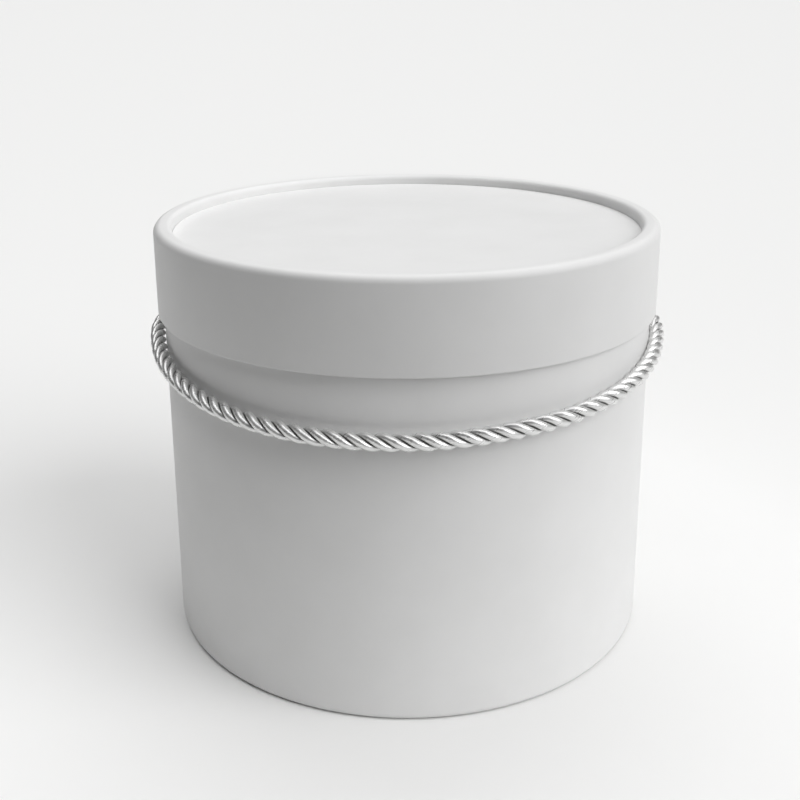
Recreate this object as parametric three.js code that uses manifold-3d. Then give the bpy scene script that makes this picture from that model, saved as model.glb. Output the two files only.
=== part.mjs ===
// A round hat box: a board drum covered in paper, a lift-off lid with a rolled rim and a sunk panel,
// and a twisted cord handle that is knotted inside two holes just under the lid.
// Millimetres, +Z up. The origin is the centre of the foot. The handle hangs in front, towards -Y,
// and "left" and "right" are a viewer's, standing in front.
import * as THREE from 'three';
import { mergeVertices } from 'three/addons/utils/BufferGeometryUtils.js';
import Module from 'manifold-3d';

const wasm = await Module();
wasm.setup();

// Driving dimensions
const BODY_RADIUS = 100;
const LID_RADIUS = 102.45;
const BOX_HEIGHT = 169.5;
const LID_EDGE_Z = 134.25;
const PANEL_TOP_Z = 165.3;
const BOARD = 2;
const PAPER = 0.25;
const GLUE_GAP = 0.05;
const LID_CLEARANCE = 0.2;
const LID_REST_GAP = 0.1;
const TURN_IN = 14;

// The lid's rolled rim, and the body's rolled foot
const RIM_OUTER_ROUND = 3;
const RIM_INNER_ROUND = 2.2;
const RIM_INNER_RADIUS = 95.15;
const FOOT_OUTER_ROUND = 3;
const FOOT_INNER_ROUND = 1.2;
const FOOT_INNER_RADIUS = 94;
const FOOT_DEPTH = 4.1;
const FOOT_WRAP_ANGLE = Math.PI / 3;

// The cord, its holes and its knots
const CORD_RADIUS = 3;
const CORD_GAP = 0.3;
const CORD_STEP = 10;
const CORD_SIDES = 10;
const HOLE_CENTRE_Y = -2.2;
const HOLE_CENTRE_Z = 126.95;
const HOLE_HALF_HEIGHT = 4;
const HOLE_HALF_STRAIGHT = 5.7;
const KNOT_SIZE = [8.6, 8.6, 8.6];
const TAIL_LENGTH = 12;
const SEAL_LENGTH = 4;
const TAIL_DROP = 1.1;

// Facets round the drum, and in a rounded corner
const SEGMENTS = 48;
const CORNER_STEPS = 4;

// The hanging cord's centreline from its knot to the middle of the front: degrees round from the
// front, distance from the drum's axis, and height
const CORD_ROUTE = [
  [97, 89.6, 127.4],
  [94.2, 93.4, 127.4],
  [92, 96.5, 127.3],
  [89.6, 99.6, 126.9],
  [86.8, 101.9, 126.1],
  [83, 103.1, 124.9],
  [76, 103.2, 122.8],
  [66, 103.2, 120.2],
  [55, 103.2, 117.8],
  [44, 103.2, 115.9],
  [33, 103.2, 114.3],
  [22, 103.2, 113.2],
  [11, 103.2, 112.6],
  [0, 103.2, 112.4],
];
// Where each half of the cord is divided, in millimetres from its knot
const CORD_BENDS = [66, 130];

const PAPER_WHITE = new THREE.MeshStandardMaterial({ color: 0xf1f2f1, roughness: 0.6, metalness: 0 });
const BOARD_GREY = new THREE.MeshStandardMaterial({ color: 0xc9c4b8, roughness: 0.85, metalness: 0 });
const CORD_SATIN = new THREE.MeshStandardMaterial({ color: 0xd9dadb, roughness: 0.35, metalness: 0 });
const SEAL_CLEAR = new THREE.MeshStandardMaterial({ color: 0xe6e6e2, roughness: 0.3, metalness: 0 });

const box = new THREE.Group();

function addPart(name, geometry, material) {
  const mesh = new THREE.Mesh(geometry, material);
  mesh.name = name;
  box.add(mesh);
  return mesh;
}

// Points of an arc in a radius and height profile, both ends included. Angle 0 points outwards.
function arc(radius, z, round, from, to) {
  const points = [];
  for (let i = 0; i <= CORNER_STEPS; i += 1) {
    const angle = from + ((to - from) * i) / CORNER_STEPS;
    points.push([radius + round * Math.cos(angle), z + round * Math.sin(angle)]);
  }
  return points;
}

// A closed ring turned round Z from its profile, given anticlockwise as [radius, z]
function ring(profile) {
  const points = [...profile, profile[0]].map(([radius, z]) => new THREE.Vector2(radius, z));
  return new THREE.LatheGeometry(points, SEGMENTS).rotateX(Math.PI / 2);
}

function disc(radius, bottom, top) {
  const geometry = new THREE.CylinderGeometry(radius, radius, top - bottom, SEGMENTS);
  return geometry.rotateX(Math.PI / 2).translate(0, 0, (bottom + top) / 2);
}

function toSolid(geometry) {
  const bare = geometry.clone();
  bare.deleteAttribute('normal');
  bare.deleteAttribute('uv');
  const merged = mergeVertices(bare, 1e-4);
  const vertProperties = new Float32Array(merged.attributes.position.array);
  const triVerts = new Uint32Array(merged.index.array);
  return new wasm.Manifold(new wasm.Mesh({ numProp: 3, vertProperties, triVerts }));
}

function toGeometry(solid) {
  const { vertProperties, triVerts } = solid.getMesh();
  const geometry = new THREE.BufferGeometry();
  geometry.setAttribute('position', new THREE.BufferAttribute(vertProperties, 3));
  geometry.setIndex(new THREE.BufferAttribute(triVerts, 1));
  return geometry;
}

// Both cord holes, round-ended slots punched along X through a wall of the drum. They are long
// because the cord leaves on a slant, already turning towards the front.
function punched(geometry) {
  const slot = new THREE.Shape();
  slot.absarc(HOLE_HALF_STRAIGHT, 0, HOLE_HALF_HEIGHT, -Math.PI / 2, Math.PI / 2);
  slot.absarc(-HOLE_HALF_STRAIGHT, 0, HOLE_HALF_HEIGHT, Math.PI / 2, (3 * Math.PI) / 2);
  const depth = 3 * BODY_RADIUS;
  const punch = new THREE.ExtrudeGeometry(slot, { depth, bevelEnabled: false, curveSegments: 8 });
  punch.rotateX(Math.PI / 2).rotateZ(Math.PI / 2);
  punch.translate(-depth / 2, HOLE_CENTRE_Y, HOLE_CENTRE_Z);
  return toGeometry(toSolid(geometry).subtract(toSolid(punch)));
}

// Heights of the layers at the top and bottom of the drum
const panelCoverBottom = PANEL_TOP_Z - PAPER;
const lidDiscTop = panelCoverBottom - GLUE_GAP;
const lidDiscBottom = lidDiscTop - BOARD;
const lidLinerTop = lidDiscBottom - GLUE_GAP;
const lidLinerBottom = lidLinerTop - PAPER;
const bodyTop = lidLinerBottom - LID_REST_GAP;
const tubeTop = bodyTop - PAPER - GLUE_GAP;
const baseCoverBottom = FOOT_DEPTH + GLUE_GAP;
const baseDiscBottom = baseCoverBottom + PAPER + GLUE_GAP;
const baseDiscTop = baseDiscBottom + BOARD;
const baseLinerBottom = baseDiscTop + GLUE_GAP;

// Radii of the layers in the drum's wall, from the outside in
const tubeOuter = BODY_RADIUS - PAPER - GLUE_GAP;
const tubeInner = tubeOuter - BOARD;
const turnInOuter = tubeInner - GLUE_GAP;
const turnInInner = turnInOuter - PAPER;
const linerOuter = turnInInner - GLUE_GAP;
const linerInner = linerOuter - PAPER;

// Radii of the layers in the lid's wall
const lidTurnInInner = BODY_RADIUS + LID_CLEARANCE;
const lidTurnInOuter = lidTurnInInner + PAPER;
const lidTubeInner = lidTurnInOuter + GLUE_GAP;
const lidTubeOuter = LID_RADIUS - PAPER - GLUE_GAP;
const lidDiscRadius = lidTubeInner - GLUE_GAP - 0.05;

function addBody() {
  const quarter = Math.PI / 2;
  const innerCentre = [FOOT_INNER_RADIUS + FOOT_INNER_ROUND, FOOT_INNER_ROUND];
  const footCentre = tubeOuter - FOOT_OUTER_ROUND;
  // Board tube with its lower edge rolled in to make a foot for the base to sit on
  addPart('body_tube', punched(ring([
    [tubeInner, tubeTop],
    [tubeInner, FOOT_DEPTH],
    [FOOT_INNER_RADIUS, FOOT_DEPTH],
    ...arc(...innerCentre, FOOT_INNER_ROUND, 2 * quarter, 3 * quarter),
    ...arc(footCentre, FOOT_OUTER_ROUND, FOOT_OUTER_ROUND, -quarter, 0),
    [tubeOuter, tubeTop],
  ])), BOARD_GREY);
  // Paper on the outside, turned in over the top edge and part of the way round the foot
  const outerRound = BODY_RADIUS - footCentre;
  addPart('body_wrap', punched(ring([
    [turnInInner, bodyTop],
    [turnInInner, bodyTop - TURN_IN],
    [turnInOuter, bodyTop - TURN_IN],
    [turnInOuter, bodyTop - PAPER],
    [BODY_RADIUS - PAPER, bodyTop - PAPER],
    ...arc(footCentre, FOOT_OUTER_ROUND, outerRound - PAPER, 0, -FOOT_WRAP_ANGLE),
    ...arc(footCentre, FOOT_OUTER_ROUND, outerRound, -FOOT_WRAP_ANGLE, 0),
    [BODY_RADIUS, bodyTop],
  ])), PAPER_WHITE);
  addPart('body_liner', punched(ring([
    [linerInner, bodyTop - 2],
    [linerInner, baseLinerBottom],
    [linerOuter, baseLinerBottom],
    [linerOuter, bodyTop - 2],
  ])), PAPER_WHITE);
  addPart('base_cover', disc(turnInOuter, baseCoverBottom, baseCoverBottom + PAPER), PAPER_WHITE);
  addPart('base_disc', disc(turnInOuter, baseDiscBottom, baseDiscTop), BOARD_GREY);
  addPart('base_liner', disc(linerInner - GLUE_GAP, baseLinerBottom, baseLinerBottom + PAPER), PAPER_WHITE);
}

function addLid() {
  const quarter = Math.PI / 2;
  const outerCentre = [LID_RADIUS - RIM_OUTER_ROUND, BOX_HEIGHT - RIM_OUTER_ROUND];
  const innerCentre = [RIM_INNER_RADIUS + RIM_INNER_ROUND, BOX_HEIGHT - RIM_INNER_ROUND];
  const rimBottom = lidDiscTop + GLUE_GAP;
  const skin = PAPER + GLUE_GAP;
  // Board tube with its upper edge rolled in to make a rim over the panel
  addPart('lid_tube', ring([
    [lidTubeInner, rimBottom],
    [lidTubeInner, LID_EDGE_Z + skin],
    [lidTubeOuter, LID_EDGE_Z + skin],
    ...arc(...outerCentre, RIM_OUTER_ROUND - skin, 0, quarter),
    ...arc(...innerCentre, RIM_INNER_ROUND - skin, quarter, 2 * quarter),
    [RIM_INNER_RADIUS + skin, rimBottom],
  ]), BOARD_GREY);
  // Paper on the outside, over the rim to the panel's board, and turned in under the lower edge
  addPart('lid_wrap', ring([
    [lidTurnInInner, LID_EDGE_Z + TURN_IN],
    [lidTurnInInner, LID_EDGE_Z],
    [LID_RADIUS, LID_EDGE_Z],
    ...arc(...outerCentre, RIM_OUTER_ROUND, 0, quarter),
    ...arc(...innerCentre, RIM_INNER_ROUND, quarter, 2 * quarter),
    [RIM_INNER_RADIUS, rimBottom],
    [RIM_INNER_RADIUS + PAPER, rimBottom],
    ...arc(...innerCentre, RIM_INNER_ROUND - PAPER, 2 * quarter, quarter),
    ...arc(...outerCentre, RIM_OUTER_ROUND - PAPER, quarter, 0),
    [LID_RADIUS - PAPER, LID_EDGE_Z + PAPER],
    [lidTurnInOuter, LID_EDGE_Z + PAPER],
    [lidTurnInOuter, LID_EDGE_Z + TURN_IN],
  ]), PAPER_WHITE);
  const coverRadius = RIM_INNER_RADIUS - GLUE_GAP;
  addPart('lid_disc_cover', disc(coverRadius, panelCoverBottom, PANEL_TOP_Z), PAPER_WHITE);
  addPart('lid_disc', disc(lidDiscRadius, lidDiscBottom, lidDiscTop), BOARD_GREY);
  addPart('lid_disc_liner', disc(lidDiscRadius, lidLinerBottom, lidLinerTop), PAPER_WHITE);
}

// The whole centreline, from the right knot round the front to the left knot
function cordCurve() {
  const half = (side) => CORD_ROUTE.map(([degrees, radius, z]) => {
    const angle = THREE.MathUtils.degToRad(degrees);
    return new THREE.Vector3(side * radius * Math.sin(angle), -radius * Math.cos(angle), z);
  });
  const points = [...half(1), ...half(-1).reverse().slice(1)];
  const curve = new THREE.CatmullRomCurve3(points, false, 'centripetal');
  curve.arcLengthDivisions = 2000;
  return curve;
}

// The stretch of a curve between two distances along it
class Stretch extends THREE.Curve {
  constructor(curve, from, to) {
    super();
    this.curve = curve;
    this.from = from / curve.getLength();
    this.to = to / curve.getLength();
  }

  getPoint(t, target) {
    return this.curve.getPointAt(this.from + (this.to - this.from) * t, target);
  }
}

function cordTube(path) {
  const section = [];
  for (let i = 0; i < CORD_SIDES; i += 1) {
    const angle = (2 * Math.PI * i) / CORD_SIDES;
    section.push(new THREE.Vector2(CORD_RADIUS * Math.cos(angle), CORD_RADIUS * Math.sin(angle)));
  }
  const steps = Math.max(1, Math.round(path.getLength() / CORD_STEP));
  return new THREE.ExtrudeGeometry(new THREE.Shape(section), { steps, extrudePath: path });
}

// Each half of the handle: three stretches of cord, and inside the drum a knot, a tail and its seal
function addHandleHalf(side, fromKnot, curve) {
  const half = curve.getLength() / 2;
  const stops = [0, ...CORD_BENDS, half];
  ['low', 'side', 'front'].forEach((place, i) => {
    const from = stops[i] + (i === 0 ? 0 : CORD_GAP / 2);
    const to = stops[i + 1] - CORD_GAP / 2;
    addPart(`rope_${side}_${place}`, cordTube(new Stretch(curve, ...fromKnot(from, to))), CORD_SATIN);
  });
  const end = curve.getPointAt(side === 'right' ? 0 : 1);
  const inwards = curve.getTangentAt(side === 'right' ? 0 : 1).multiplyScalar(side === 'right' ? -1 : 1);
  const centre = end.clone().addScaledVector(inwards, CORD_GAP + KNOT_SIZE[2]);
  const turned = new THREE.Quaternion().setFromUnitVectors(new THREE.Vector3(0, 0, 1), inwards);
  const knot = addPart(`knot_${side}`, new THREE.SphereGeometry(1, 16, 12), CORD_SATIN);
  knot.geometry.scale(...KNOT_SIZE).applyQuaternion(turned);
  knot.position.copy(centre);
  const droop = inwards.clone().setZ(inwards.z - TAIL_DROP).normalize();
  const tailStart = centre.clone().addScaledVector(droop, KNOT_SIZE[0] + CORD_GAP);
  const tailEnd = tailStart.clone().addScaledVector(droop, TAIL_LENGTH);
  const sealStart = tailEnd.clone().addScaledVector(droop, CORD_GAP);
  const sealEnd = sealStart.clone().addScaledVector(droop, SEAL_LENGTH);
  addPart(`tail_${side}`, cordTube(new THREE.LineCurve3(tailStart, tailEnd)), CORD_SATIN);
  addPart(`end_seal_${side}`, cordTube(new THREE.LineCurve3(sealStart, sealEnd)), SEAL_CLEAR);
}

function addHandle() {
  const curve = cordCurve();
  const whole = curve.getLength();
  addHandleHalf('left', (from, to) => [whole - to, whole - from], curve);
  addHandleHalf('right', (from, to) => [from, to], curve);
}

addBody();
addLid();
addHandle();

export default box;
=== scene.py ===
"""Looks for a round hat box: papered drum, lift-off lid with a rolled rim, twisted cord handle.

Metres, +Z up, the handle hangs in front, towards -Y. Left and right are a viewer's, in front.
"""

import math

import bmesh
import bpy
import numpy as np
from mathutils import Matrix, Vector


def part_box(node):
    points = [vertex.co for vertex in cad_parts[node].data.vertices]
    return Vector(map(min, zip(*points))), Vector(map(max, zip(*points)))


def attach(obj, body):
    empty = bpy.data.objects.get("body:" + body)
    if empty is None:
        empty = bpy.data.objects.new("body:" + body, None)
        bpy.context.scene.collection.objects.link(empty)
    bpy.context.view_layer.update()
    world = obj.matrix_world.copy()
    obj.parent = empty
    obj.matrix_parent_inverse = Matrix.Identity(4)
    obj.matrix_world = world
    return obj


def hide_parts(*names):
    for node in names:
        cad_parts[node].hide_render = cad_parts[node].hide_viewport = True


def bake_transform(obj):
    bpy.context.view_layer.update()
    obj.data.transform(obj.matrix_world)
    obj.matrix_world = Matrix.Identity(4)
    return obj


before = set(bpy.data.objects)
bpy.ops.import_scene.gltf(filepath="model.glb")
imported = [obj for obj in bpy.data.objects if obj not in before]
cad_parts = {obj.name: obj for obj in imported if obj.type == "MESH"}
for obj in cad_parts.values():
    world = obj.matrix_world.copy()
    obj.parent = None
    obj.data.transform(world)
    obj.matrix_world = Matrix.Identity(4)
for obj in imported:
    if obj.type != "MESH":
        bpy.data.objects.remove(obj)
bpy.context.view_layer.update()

# ---------------------------------------------------------------- sizes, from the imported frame
MM = 0.001
body_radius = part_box("body_wrap")[1].y
body_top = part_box("body_wrap")[1].z
lid_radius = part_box("lid_wrap")[1].y
lid_edge, lid_top = (corner.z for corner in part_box("lid_wrap"))
panel_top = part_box("lid_disc_cover")[1].z
panel_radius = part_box("lid_disc_cover")[1].y

PAPER = 0.25 * MM
GLUE = 0.05 * MM
BOARD = 2 * MM
FOLD = 0.45 * MM
TURN_IN = 14 * MM
FOOT_ROUND = 3 * MM
FOOT_INNER = 94 * MM
FOOT_INNER_ROUND = 1.2 * MM
FOOT_TUCK = -0.667  # how far the wrap goes round the foot, in quarter turns
LINING_BELOW_TOP = 2 * MM
LINING_ABOVE_BASE = 2.4 * MM
RIM_ROUND = 3 * MM
RIM_INNER_ROUND = 2.2 * MM
LID_CLEARANCE = 0.2 * MM
DISC_EDGE = 0.1 * MM
ROUND_SEGMENTS = 288
ARC_STEPS = 10
FOLD_STEPS = 4
SMOOTH_ANGLE = 35

# The slots in the drum's wall that the cord goes through, as in the CAD
SLOT_CENTRE_Y = -2.2 * MM
SLOT_CENTRE_Z = 126.95 * MM
SLOT_HALF_HEIGHT = 4 * MM
SLOT_HALF_STRAIGHT = 5.7 * MM
SLOT_STEPS = 16
PUNCH_REACH = 1.5  # times the drum's radius, so that the punch goes right through

# ---------------------------------------------------------------- the cord's route
# From the knot to the middle of the front: degrees round from the front, distance from the drum's
# axis, and height on the right and on the left, in millimetres. It is the CAD's route to within
# about 1 mm: here the cord hangs a little lower on the left.
CORD_ROUTE = [
    (97, 89.6, 127.4, 127.4),
    (94.2, 93.4, 127.4, 127.4),
    (92, 96.5, 127.3, 127.3),
    (89.6, 99.6, 126.9, 126.9),
    (86.8, 101.9, 126.1, 126.1),
    (83, 103, 124.9, 124.9),
    (76, 103.1, 122.8, 122.8),
    (66, 103.25, 120.2, 119.8),
    (55, 103.25, 117.8, 117),
    (44, 103.25, 115.9, 114.8),
    (33, 103.25, 114.4, 113.2),
    (22, 103.25, 113.4, 112.2),
    (11, 103.25, 112.4, 111.8),
    (0, 103.25, 111.8, 111.8),
]
ROUTE_STEPS = 60
ROUTE_STRIDE = 6  # every sixth ring is a point of the path kept with each piece of cord
# The two bends in each half: the bodies on either side, and the distance from the knot
CORD_BENDS = {"low": ("low", "side", 66 * MM), "front": ("side", "front", 130 * MM)}
CORD_SPLIT = 98 * MM
BEND_REACH = 13 * MM
CORD_LAY = 19 * MM
STRANDS = 3
STRAND_OFFSET = 1.72 * MM
STRAND_RADIUS = 1.48 * MM
STRAND_STEP = 0.5 * MM
STRAND_SIDES = 28
STRAND_SMOOTH_ANGLE = 60
FILAMENT_SLANT = 0.5
# The cord is pulled a little thinner where it bends in to its holes
THIN_AT_HOLE = 0.92
THIN_FROM, THIN_TO = 20 * MM, 60 * MM
KNOT_COIL = 5.5 * MM
KNOT_PITCH = 5.8 * MM
KNOT_TURNS = 2
KNOT_STEPS = 160
# Each end of the knot's coil tucks in: over which part of its length, and how near to its middle
KNOT_TUCK = 0.12
KNOT_TUCK_RADIUS = 0.45
TAIL_STEPS = 30
SEAL_RADIUS = 3 * MM
SEAL_SIDES = 32
# Rings of the seal: place along its half length, and share of its radius
SEAL_RINGS = [(-1, 0.2), (-1, 0.94), (-0.9, 1), (0, 0.95), (0.9, 1), (1, 0.94), (1, 0.2)]
# Half the seal, as a share of the distance between its centre and the tail's
SEAL_HALF = 0.25

# ---------------------------------------------------------------- camera, floor and lights
LENS, SENSOR, SHIFT_UP = 50.09, 36, -0.125
CAMERA_PLACE = (0, -0.4512, 0.26069)
CAMERA_DOWN, CAMERA_TURN, CAMERA_ROLL = 0.2768, 0.0064, 0.0053
FLOOR_REACH = 80
FLOOR_SPLIT_Y = -0.33
SKY_GLOW = 0.86
# Soft suns: degrees round from the front towards the right, degrees up, softness, strength
SUNS = {
    "overhead": (0, 90, 60, 1.48),
    "front right": (60, 35, 50, 1.9),
    "right": (90, 30, 30, 0.1),
    "back": (180, 50, 60, 0.68),
    "left": (270, 50, 60, 0.14),
}

# ---------------------------------------------------------------- looks
NOISE_LOW, NOISE_HIGH = 0.3, 0.7  # where nearly all of a noise texture's values lie
FILAMENT_SCALE = (1900, 160, 0)
# Painted shade on the cord: how far outwards a strand looks, from painted dark between the strands
# to the cord's own bright white
PAINTED_SHADE_FROM, PAINTED_SHADE_TO = -0.35, 0.3  # how far outwards a strand looks, from dark to bright


# ---------------------------------------------------------------- camera
def add_camera():
    data = bpy.data.cameras.new("camera")
    data.lens = LENS
    data.sensor_width = SENSOR
    data.shift_y = SHIFT_UP
    camera = bpy.data.objects.new("camera", data)
    turn = Matrix.Rotation(CAMERA_TURN, 4, "Z")
    tilt = Matrix.Rotation(math.pi / 2 - CAMERA_DOWN, 4, "X")
    roll = Matrix.Rotation(-CAMERA_ROLL, 4, "Z")
    camera.matrix_world = Matrix.Translation(CAMERA_PLACE) @ (turn @ tilt) @ roll
    bpy.context.scene.collection.objects.link(camera)
    bpy.context.scene.camera = camera


# ---------------------------------------------------------------- mesh helpers
def add_mesh(name, points, faces, material, smooth_angle=SMOOTH_ANGLE):
    mesh = bpy.data.meshes.new(name)
    mesh.from_pydata([tuple(p) for p in points], [], faces)
    mesh.validate()
    mesh.polygons.foreach_set("use_smooth", [True] * len(mesh.polygons))
    mesh.set_sharp_from_angle(angle=math.radians(smooth_angle))
    mesh.materials.append(material)
    piece = bpy.data.objects.new(name, mesh)
    bpy.context.scene.collection.objects.link(piece)
    return piece


def arc(centre, radius, start, end, steps=ARC_STEPS):
    """Points of an arc in a (radius, height) profile, angles in quarter turns from outwards."""
    angles = [math.pi / 2 * (start + (end - start) * i / steps) for i in range(steps + 1)]
    return [
        (centre[0] + radius * math.cos(a), centre[1] + radius * math.sin(a)) for a in angles
    ]


def tube_faces(rings, sides, first=0):
    """Faces of a tube whose points run ring by ring, with a flat face at each end."""
    faces = []
    for i in range(rings - 1):
        for k in range(sides):
            a = first + i * sides + k
            b = first + i * sides + (k + 1) % sides
            faces.append((a, b, b + sides, a + sides))
    last = first + (rings - 1) * sides
    faces.append(tuple(reversed(range(first, first + sides))))
    faces.append(tuple(range(last, last + sides)))
    return faces


def turned(name, profile, material, body, nodes):
    """A closed profile of (radius, height), anticlockwise, turned round Z. Radius 0 is allowed."""
    points, rings = [], []
    for radius, height in profile:
        if radius == 0:
            rings.append([len(points)] * ROUND_SEGMENTS)
            points.append((0, 0, height))
            continue
        rings.append(list(range(len(points), len(points) + ROUND_SEGMENTS)))
        for i in range(ROUND_SEGMENTS):
            turn = 2 * math.pi * i / ROUND_SEGMENTS
            points.append((radius * math.cos(turn), radius * math.sin(turn), height))
    faces = []
    for low, high in zip(rings, rings[1:] + rings[:1]):
        for i in range(ROUND_SEGMENTS):
            j = (i + 1) % ROUND_SEGMENTS
            corners = list(dict.fromkeys((low[i], low[j], high[j], high[i])))
            if len(corners) > 2:
                faces.append(corners)
    piece = add_mesh(name, points, faces, material)
    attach(piece, body)
    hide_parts(*nodes)
    return piece


# ---------------------------------------------------------------- materials
class Nodes:
    """A material's node tree, built one named step at a time."""

    def __init__(self, name):
        self.material = bpy.data.materials.new(name)
        self.material.use_nodes = True
        self.tree = self.material.node_tree
        self.shader = self.tree.nodes["Principled BSDF"]
        self.place = self.add("ShaderNodeTexCoord").outputs["Object"]

    def add(self, kind, **settings):
        node = self.tree.nodes.new(kind)
        for key, value in settings.items():
            setattr(node, key, value)
        return node

    def link(self, output, socket):
        self.tree.links.new(output, socket)

    def surface(self, sockets):
        for socket, value in sockets.items():
            self.shader.inputs[socket].default_value = value

    def noise(self, scale, detail=3, place=None):
        node = self.add("ShaderNodeTexNoise")
        node.inputs["Scale"].default_value = scale
        node.inputs["Detail"].default_value = detail
        self.link(place or self.place, node.inputs["Vector"])
        return node.outputs["Fac"]

    def spread(self, value, low, high):
        node = self.add("ShaderNodeMapRange")
        node.inputs["From Min"].default_value = NOISE_LOW
        node.inputs["From Max"].default_value = NOISE_HIGH
        node.inputs["To Min"].default_value = low
        node.inputs["To Max"].default_value = high
        self.link(value, node.inputs["Value"])
        return node.outputs["Result"]

    def tint(self, value, low, high):
        node = self.add("ShaderNodeMix", data_type="RGBA")
        node.inputs["A"].default_value = (*low, 1)
        node.inputs["B"].default_value = (*high, 1)
        self.link(value, node.inputs["Factor"])
        self.link(node.outputs["Result"], self.shader.inputs["Base Color"])

    def bump(self, height, distance, strength=1.0):
        node = self.add("ShaderNodeBump")
        node.inputs["Distance"].default_value = distance
        node.inputs["Strength"].default_value = strength
        self.link(height, node.inputs["Height"])
        previous = self.shader.inputs["Normal"].links
        if previous:
            self.link(previous[0].from_socket, node.inputs["Normal"])
        self.link(node.outputs["Normal"], self.shader.inputs["Normal"])


def paper(name, dark, light, roughness, grain=0.02 * MM):
    """Coated paper: a fine tooth, a slow wave where the glue pulls it, a slightly uneven white."""
    made = Nodes(name)
    made.tint(made.spread(made.noise(35, 4), 0, 1), dark, light)
    made.link(
        made.spread(made.noise(400, 2), roughness - 0.05, roughness + 0.05),
        made.shader.inputs["Roughness"],
    )
    made.bump(made.noise(2600, 4), grain, 0.6)
    made.bump(made.noise(22, 2), 0.12 * MM, 0.5)
    made.surface({"Specular IOR Level": 0.35})
    return made.material


def board(name):
    """Raw greyboard: pressed fibres, flecked."""
    made = Nodes(name)
    made.tint(made.spread(made.noise(1800, 6), 0, 1), (0.42, 0.39, 0.34), (0.58, 0.55, 0.5))
    made.bump(made.noise(1500, 6), 0.08 * MM)
    made.surface({"Roughness": 0.9, "Specular IOR Level": 0.2})
    return made.material


def satin_cord(name):
    """Shiny filaments wound across each strand, with shade painted darker down between the strands.

    LAY holds the distance along, the distance round, and how far outwards each point looks.
    """
    made = Nodes(name)
    lay = made.add("ShaderNodeAttribute", attribute_name="LAY").outputs["Vector"]
    stretch = made.add("ShaderNodeMapping")
    stretch.inputs["Scale"].default_value = FILAMENT_SCALE
    made.link(lay, stretch.inputs["Vector"])
    fibres = made.noise(1, 3, stretch.outputs["Vector"])
    parts = made.add("ShaderNodeSeparateXYZ")
    made.link(lay, parts.inputs["Vector"])
    # painted shade: the strands' colour goes near black where they face in towards each other, down
    # between the strands
    painted_groove_shade = made.add("ShaderNodeMapRange", interpolation_type="SMOOTHSTEP")
    painted_groove_shade.inputs["From Min"].default_value = PAINTED_SHADE_FROM
    painted_groove_shade.inputs["From Max"].default_value = PAINTED_SHADE_TO
    made.link(parts.outputs["Z"], painted_groove_shade.inputs["Value"])
    made.tint(painted_groove_shade.outputs["Result"], (0.13, 0.13, 0.128), (0.8, 0.8, 0.795))
    made.bump(fibres, 0.1 * MM)
    made.link(made.spread(fibres, 0.24, 0.4), made.shader.inputs["Roughness"])
    made.surface({"Metallic": 0.65, "Specular IOR Level": 0.6})
    return made.material


def clear_tape(name):
    """Glossy tape, barely cloudy."""
    made = Nodes(name)
    made.tint(made.spread(made.noise(300), 0, 1), (0.7, 0.7, 0.67), (0.78, 0.78, 0.76))
    made.bump(made.noise(900), 0.05 * MM)
    made.surface({"Roughness": 0.25, "Coat Weight": 0.4})
    return made.material


# ---------------------------------------------------------------- the cord
def cord_line():
    """The whole centreline, right knot to left knot, as a fine polyline with its distances."""
    right, left = [], []
    for degrees, radius, right_z, left_z in CORD_ROUTE:
        turn = math.radians(degrees)
        x, y = radius * math.sin(turn), -radius * math.cos(turn)
        right.append((x, y, right_z))
        left.append((-x, y, left_z))
    knots = np.array(right + left[-2::-1]) * MM
    padded = np.vstack([2 * knots[0] - knots[1], knots, 2 * knots[-1] - knots[-2]])
    fine = []
    for i in range(len(knots) - 1):
        fine.extend(centripetal(*padded[i : i + 4], ROUTE_STEPS))
    fine = np.array(fine + [knots[-1]])
    return fine, distance_along(fine)


def distance_along(line):
    return np.concatenate([[0], np.cumsum(np.linalg.norm(np.diff(line, axis=0), axis=1))])


def centripetal(p0, p1, p2, p3, steps):
    """Points of one centripetal Catmull-Rom span, p1 to p2, its end left out."""
    d0, d1, d2 = (np.sqrt(np.linalg.norm(b - a)) for a, b in ((p0, p1), (p1, p2), (p2, p3)))
    m1 = ((p1 - p0) / d0 - (p2 - p0) / (d0 + d1) + (p2 - p1) / d1) * d1
    m2 = ((p2 - p1) / d1 - (p3 - p1) / (d1 + d2) + (p3 - p2) / d2) * d1
    t = np.linspace(0, 1, steps, endpoint=False)[:, None]
    return p1 + m1 * t + (3 * (p2 - p1) - 2 * m1 - m2) * t**2 + (2 * (p1 - p2) + m1 + m2) * t**3


def carried_frames(line):
    """Tangent and two normals at each point of a line, turning as little as they can."""
    tangents = np.gradient(line, axis=0)
    tangents /= np.linalg.norm(tangents, axis=1)[:, None]
    normal = np.cross(tangents[0], (0, 0, 1))
    normals = []
    for t in tangents:
        normal = normal - t * (normal @ t)
        normal = normal / np.linalg.norm(normal)
        normals.append(normal)
    normals = np.array(normals)
    return tangents, normals, np.cross(tangents, normals)


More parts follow.
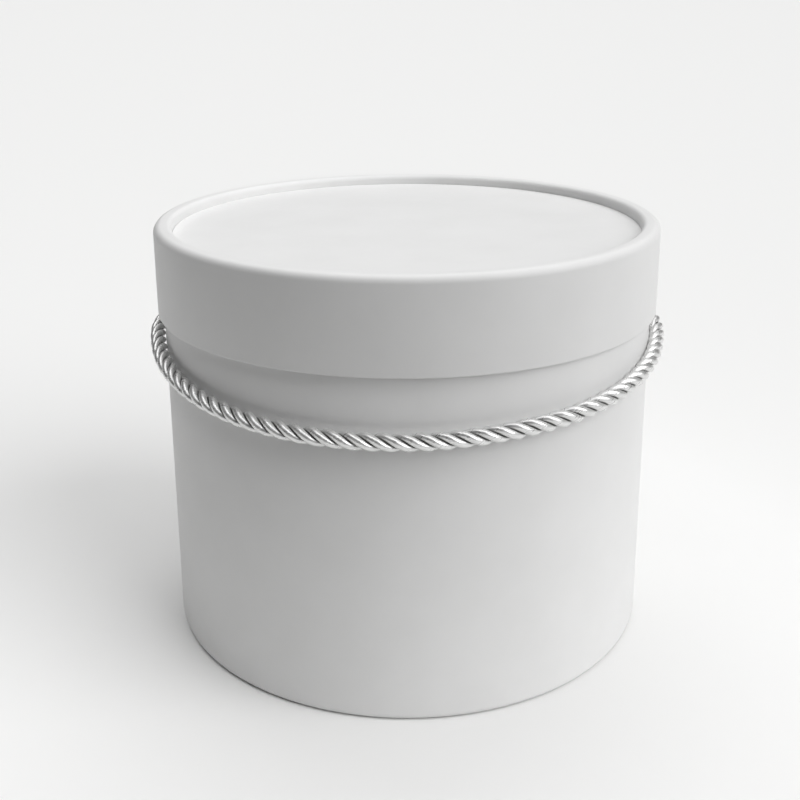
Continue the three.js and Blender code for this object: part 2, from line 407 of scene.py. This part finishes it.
def laid_strands(line, distance, scale):
    """Points and LAY values of a three-strand cord along a line: strands x rings x sides x 3."""
    _, normals, binormals = carried_frames(line)
    points, lay = [], []
    angles = 2 * np.pi * np.arange(STRAND_SIDES) / STRAND_SIDES
    for strand in range(STRANDS):
        turn = (2 * math.pi * (distance / CORD_LAY + strand / STRANDS))[:, None]
        outwards = np.cos(turn) * normals + np.sin(turn) * binormals
        core = line + STRAND_OFFSET * scale[:, None] * outwards
        along = np.gradient(core, axis=0)
        along /= np.linalg.norm(along, axis=1)[:, None]
        inwards = -outwards + along * np.sum(outwards * along, axis=1)[:, None]
        inwards /= np.linalg.norm(inwards, axis=1)[:, None]
        sideways = np.cross(along, inwards)
        ring = (
            np.cos(angles)[None, :, None] * inwards[:, None]
            + np.sin(angles)[None, :, None] * sideways[:, None]
        )
        points.append(core[:, None] + STRAND_RADIUS * scale[:, None, None] * ring)
        around = np.tile(angles * STRAND_RADIUS, (len(core), 1))
        wound = distance[:, None] + FILAMENT_SLANT * around + strand * CORD_LAY
        # the third value, how far outwards a point looks, is what the cord's painted shade between
        # the strands follows
        lay.append(np.stack([wound, around, np.tile(-np.cos(angles), (len(core), 1))], axis=-1))
    return np.array(points), np.array(lay)


def add_cord(material):
    """The four pieces of the cord between the knots, each with its path from the knot's side."""
    fine, distance = cord_line()
    whole = distance[-1]

    def at(s):
        return np.array([np.interp(s, distance, fine[:, i]) for i in range(3)])

    # one set of rings for the whole cord, so that its pieces meet ring on ring
    stops = [0, CORD_SPLIT, whole / 2, whole - CORD_SPLIT, whole]
    spans = []
    for start, end in zip(stops, stops[1:]):
        count = round((end - start) / STRAND_STEP)
        spans.append(np.linspace(start, end, count + 1))
    everywhere = np.concatenate([span[:-1] for span in spans] + [[whole]])
    line = np.array([at(s) for s in everywhere])
    from_hole = np.minimum(everywhere, whole - everywhere)
    thickness = np.interp(from_hole, (THIN_FROM, THIN_TO), (THIN_AT_HOLE, 1))
    points, lay = laid_strands(line, everywhere, thickness)
    stretches = (("right", "low"), ("right", "front"), ("left", "front"), ("left", "low"))
    made = {}
    first = 0
    for span, (side, stretch) in zip(spans, stretches):
        name = f"cord_{side}_{stretch}"
        count = len(span)
        rings = slice(first, first + count)
        first += count - 1
        piece = strip_of_strands(name, points[:, rings], lay[:, rings], material)
        near, far, bend = CORD_BENDS[stretch]
        start, end = (
            at(s if side == "right" else whole - s) for s in (bend - BEND_REACH, bend + BEND_REACH)
        )
        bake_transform(piece)
        stated = sorted({*range(0, count, ROUTE_STRIDE), count - 1})
        route = line[rings][stated]
        made[name] = (piece, route if side == "right" else route[::-1])
    for side in ("right", "left"):
        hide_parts(f"rope_{side}_low", f"rope_{side}_side")
        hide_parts(f"rope_{side}_front")
    return made


def strip_of_strands(name, points, lay, material):
    """One piece of cord from rings of points: strands x rings x sides."""
    strands, rings, sides, _ = points.shape
    faces = []
    for strand in range(strands):
        faces += tube_faces(rings, sides, strand * rings * sides)
    piece = add_mesh(name, points.reshape(-1, 3), faces, material, STRAND_SMOOTH_ANGLE)
    attribute = piece.data.attributes.new("LAY", "FLOAT_VECTOR", "POINT")
    attribute.data.foreach_set("vector", lay.reshape(-1).astype(np.float32))
    return piece


def laid_along(name, line, material, body, nodes):
    """A piece of the same cord along any line, riding one body."""
    thickness = np.full(len(line), THIN_AT_HOLE)
    points, lay = laid_strands(line, distance_along(line), thickness)
    piece = strip_of_strands(name, points, lay, material)
    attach(piece, body)
    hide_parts(*nodes)
    return piece


def add_knot(side, into_drum, material, seal_material):
    """A stopper knot, two turns round the cord, with its tail and the tail's taped tip."""
    body = f"handle_{side}_low"
    centre, tail_centre, seal_centre = (
        np.array((low + high) / 2)
        for low, high in (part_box(f"{part}_{side}") for part in ("knot", "tail", "end_seal"))
    )
    across = np.cross(into_drum, (0, 0, 1))
    across /= np.linalg.norm(across)
    up = np.cross(across, into_drum)
    turns = np.linspace(0, 1, KNOT_STEPS)
    angle = 2 * math.pi * KNOT_TURNS * turns
    tuck = np.clip(np.minimum(turns, 1 - turns) / KNOT_TUCK, 0, 1)
    opened = np.sin(tuck * math.pi / 2)
    radius = KNOT_COIL * (KNOT_TUCK_RADIUS + (1 - KNOT_TUCK_RADIUS) * opened)
    step = KNOT_PITCH * KNOT_TURNS * (0.5 - turns)
    line = (
        centre
        + step[:, None] * into_drum
        + (radius * np.cos(angle))[:, None] * across
        + (radius * np.sin(angle))[:, None] * up
    )
    knot = laid_along(f"knot_{side}_laid", line, material, body, [f"knot_{side}"])
    droop = (tail_centre - centre) / np.linalg.norm(tail_centre - centre)
    seal_half = SEAL_HALF * np.linalg.norm(seal_centre - tail_centre)
    start, end = centre + droop * KNOT_COIL, seal_centre - droop * seal_half
    line = start + np.linspace(0, 1, TAIL_STEPS)[:, None] * (end - start)
    tail = laid_along(f"tail_{side}_laid", line, material, body, [f"tail_{side}"])
    seal = add_seal(f"seal_{side}_wrapped", seal_centre, droop, seal_half, seal_material)
    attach(seal, body)
    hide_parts(f"end_seal_{side}")
    return [knot.name, tail.name, seal.name]


def add_seal(name, centre, direction, half, material):
    """Tape wound tight round the tip of a tail: a short bar, a little waisted in the middle."""
    _, across, up = carried_frames(np.array([centre - direction, centre, centre + direction]))
    points = []
    for along, wide in SEAL_RINGS:
        for i in range(SEAL_SIDES):
            turn = 2 * math.pi * i / SEAL_SIDES
            out = math.cos(turn) * across[0] + math.sin(turn) * up[0]
            points.append(centre + along * half * direction + wide * SEAL_RADIUS * out)
    return add_mesh(name, points, tube_faces(len(SEAL_RINGS), SEAL_SIDES), material)


def add_handle(material, seal_material):
    """Both halves of the handle: the cord, and the knot, tail and taped tip that each half has
    inside the drum.
    """
    whole = cord_line()[1][-1]
    cords = add_cord(material)
    for side in ("right", "left"):
        low, low_route = cords[f"cord_{side}_low"]
        into_drum = low_route[0] - low_route[1]
        into_drum /= np.linalg.norm(into_drum)
        inside = add_knot(side, into_drum, material, seal_material)


add_camera()
cord_material = satin_cord("satin cord")
tape = clear_tape("clear tape")
add_handle(cord_material, tape)

# ---------------------------------------------------------------- papers and boards
white = paper("white paper", (0.8, 0.8, 0.797), (0.83, 0.83, 0.828), 0.5)
lining = paper("lining paper", (0.77, 0.77, 0.765), (0.8, 0.8, 0.795), 0.6, 0.03 * MM)
greyboard = board("greyboard")
tube_outer = body_radius - PAPER - GLUE
tube_inner = tube_outer - BOARD
turn_in_outer = tube_inner - GLUE
turn_in_inner = turn_in_outer - PAPER
liner_outer = turn_in_inner - GLUE
liner_inner = liner_outer - PAPER
foot_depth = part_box("base_cover")[0].z - GLUE
foot_centre = (tube_outer - FOOT_ROUND, FOOT_ROUND)


def add_body():
    """The drum: paper over a board tube that rolls in to a foot, a lining, and a base inside it."""
    wrap_round = body_radius - foot_centre[0]
    fold_in = (turn_in_inner + FOLD, body_top - FOLD)
    fold_out = (body_radius - FOLD, body_top - FOLD)
    wrap = [
        (turn_in_inner, body_top - TURN_IN),
        (turn_in_outer, body_top - TURN_IN),
        (turn_in_outer, body_top - FOLD),
        *arc(fold_in, FOLD - PAPER, 2, 1, FOLD_STEPS),
        *arc(fold_out, FOLD - PAPER, 1, 0, FOLD_STEPS),
        *arc(foot_centre, wrap_round - PAPER, 0, FOOT_TUCK),
        *arc(foot_centre, wrap_round, FOOT_TUCK, 0),
        *arc(fold_out, FOLD, 0, 1, FOLD_STEPS),
        *arc(fold_in, FOLD, 1, 2, FOLD_STEPS),
    ]
    pieces = [turned("drum_wrap", wrap, white, "box_body", ["body_wrap"])]
    tube_top = body_top - PAPER - GLUE
    tube = [
        (tube_inner, tube_top),
        (tube_inner, foot_depth),
        (FOOT_INNER, foot_depth),
        *arc((FOOT_INNER + FOOT_INNER_ROUND, FOOT_INNER_ROUND), FOOT_INNER_ROUND, 2, 3),
        *arc(foot_centre, FOOT_ROUND, -1, 0),
        (tube_outer, tube_top),
    ]
    pieces.append(turned("drum_board", tube, greyboard, "box_body", ["body_tube"]))
    liner_top, liner_bottom = body_top - LINING_BELOW_TOP, foot_depth + LINING_ABOVE_BASE
    liner = [
        (liner_inner, liner_top),
        (liner_inner, liner_bottom),
        (liner_outer, liner_bottom),
        (liner_outer, liner_top),
    ]
    pieces.append(turned("drum_lining", liner, lining, "box_body", ["body_liner"]))
    for piece in pieces:
        punch_slots(piece)
    for node, slot, material in (
        ("base_cover", "lining_paper", lining),
        ("base_disc", "board", greyboard),
        ("base_liner", "lining_paper", lining),
    ):
        flat_disc(node, material, "box_body")


def flat_disc(node, material, body):
    """A disc where the CAD's is, its edges just broken."""
    low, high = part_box(node)
    edge = min(DISC_EDGE, (high.z - low.z) / 3)
    profile = [
        (0, low.z),
        (high.y - edge, low.z),
        (high.y, low.z + edge),
        (high.y, high.z - edge),
        (high.y - edge, high.z),
        (0, high.z),
    ]
    return turned(f"{node}_fine", profile, material, body, [node])


def punch_slots(piece):
    """Cuts the two round-ended slots for the cord through a wall, as in the CAD."""
    outline = []
    for end in (1, -1):
        for i in range(SLOT_STEPS + 1):
            turn = math.pi * (i / SLOT_STEPS - end / 2)
            outline.append(
                (
                    SLOT_CENTRE_Y + end * SLOT_HALF_STRAIGHT + SLOT_HALF_HEIGHT * math.cos(turn),
                    SLOT_CENTRE_Z + SLOT_HALF_HEIGHT * math.sin(turn),
                )
            )
    reach = PUNCH_REACH * body_radius
    points = [(x, y, z) for x in (-reach, reach) for y, z in outline]
    punch = add_mesh("punch", points, tube_faces(2, len(outline)), greyboard)
    mesh = bmesh.new()
    mesh.from_mesh(punch.data)
    bmesh.ops.recalc_face_normals(mesh, faces=mesh.faces)
    mesh.to_mesh(punch.data)
    mesh.free()
    cut = piece.modifiers.new("slots", "BOOLEAN")
    cut.operation, cut.solver, cut.object = "DIFFERENCE", "EXACT", punch
    bpy.context.view_layer.update()
    evaluated = piece.evaluated_get(bpy.context.evaluated_depsgraph_get())
    shape = bpy.data.meshes.new_from_object(evaluated)
    piece.modifiers.remove(cut)
    piece.data = shape
    shape.set_sharp_from_angle(angle=math.radians(SMOOTH_ANGLE))
    bpy.data.objects.remove(punch)


def add_lid():
    """The lid: paper over a board tube that rolls to a rim, round a sunk panel."""
    rim_outer = (lid_radius - RIM_ROUND, lid_top - RIM_ROUND)
    rim_inner_radius = panel_radius + GLUE
    rim_inner = (rim_inner_radius + RIM_INNER_ROUND, lid_top - RIM_INNER_ROUND)
    rim_bottom = panel_top - PAPER
    turn_in = body_radius + LID_CLEARANCE
    skin = PAPER + GLUE
    fold_in = (turn_in + FOLD, lid_edge + FOLD)
    fold_out = (lid_radius - FOLD, lid_edge + FOLD)
    wrap = [
        (turn_in, lid_edge + TURN_IN),
        *arc(fold_in, FOLD, 2, 3, FOLD_STEPS),
        *arc(fold_out, FOLD, 3, 4, FOLD_STEPS),
        *arc(rim_outer, RIM_ROUND, 0, 1),
        *arc(rim_inner, RIM_INNER_ROUND, 1, 2),
        (rim_inner_radius, rim_bottom),
        (rim_inner_radius + PAPER, rim_bottom),
        *arc(rim_inner, RIM_INNER_ROUND - PAPER, 2, 1),
        *arc(rim_outer, RIM_ROUND - PAPER, 1, 0),
        *arc(fold_out, FOLD - PAPER, 4, 3, FOLD_STEPS),
        *arc(fold_in, FOLD - PAPER, 3, 2, FOLD_STEPS),
        (turn_in + PAPER, lid_edge + TURN_IN),
    ]
    turned("lid_paper", wrap, white, "lid", ["lid_wrap"])
    tube = [
        (turn_in + skin, rim_bottom),
        (turn_in + skin, lid_edge + skin),
        (lid_radius - skin, lid_edge + skin),
        *arc(rim_outer, RIM_ROUND - skin, 0, 1),
        *arc(rim_inner, RIM_INNER_ROUND - skin, 1, 2),
        (rim_inner_radius + skin, rim_bottom),
    ]
    turned("lid_board", tube, greyboard, "lid", ["lid_tube"])
    for node, slot, material in (
        ("lid_disc_cover", "white_paper", white),
        ("lid_disc", "board", greyboard),
        ("lid_disc_liner", "lining_paper", lining),
    ):
        flat_disc(node, material, "lid")


add_body()
add_lid()


# ---------------------------------------------------------------- floor and light
def add_sheet(name, corner, opposite, height, material):
    """A flat rectangle for the stage, between two (x, y) corners."""
    (x0, y0), (x1, y1) = corner, opposite
    points = [(x0, y0, height), (x1, y0, height), (x1, y1, height), (x0, y1, height)]
    sheet = add_mesh(name, points, [(0, 1, 2, 3)], material)
    return sheet


def add_floor():
    """A pale floor. The part under the camera throws no light back on the box, like the dark side
    of a studio, so that the walls grow paler towards the foot."""
    made = Nodes("floor white")
    pale = (0.88, 0.88, 0.875, 1)
    made.surface({"Base Color": pale, "Roughness": 0.75, "Specular IOR Level": 0.2})
    reach, middle = FLOOR_REACH, FLOOR_SPLIT_Y
    add_sheet("floor", (-reach, middle), (reach, reach), 0, made.material)
    front = add_sheet("floor_front", (-reach, -reach), (reach, middle), 0, made.material)
    front.visible_diffuse = False


def add_sun(name, azimuth, up, softness, strength):
    data = bpy.data.lights.new(name, "SUN")
    data.angle = math.radians(softness)
    data.energy = strength
    sun = bpy.data.objects.new(name, data)
    a, e = math.radians(azimuth), math.radians(up)
    towards = Vector((math.sin(a) * math.cos(e), -math.cos(a) * math.cos(e), math.sin(e)))
    sun.matrix_world = towards.to_track_quat("Z", "Y").to_matrix().to_4x4()
    bpy.context.scene.collection.objects.link(sun)


def add_light():
    """The suns light everything. The sky is only what the camera sees beyond the floor."""
    for name, settings in SUNS.items():
        add_sun(name, *settings)
    world = bpy.data.worlds.new("sky")
    bpy.context.scene.world = world
    world.use_nodes = True
    sky = world.node_tree.nodes["Background"]
    sky.inputs["Color"].default_value = (1, 1, 0.995, 1)
    sky.inputs["Strength"].default_value = SKY_GLOW
    for ray in ("diffuse", "glossy", "transmission", "scatter"):
        setattr(world.cycles_visibility, ray, False)
    bpy.context.scene.view_settings.view_transform = "Standard"


add_floor()
add_light()
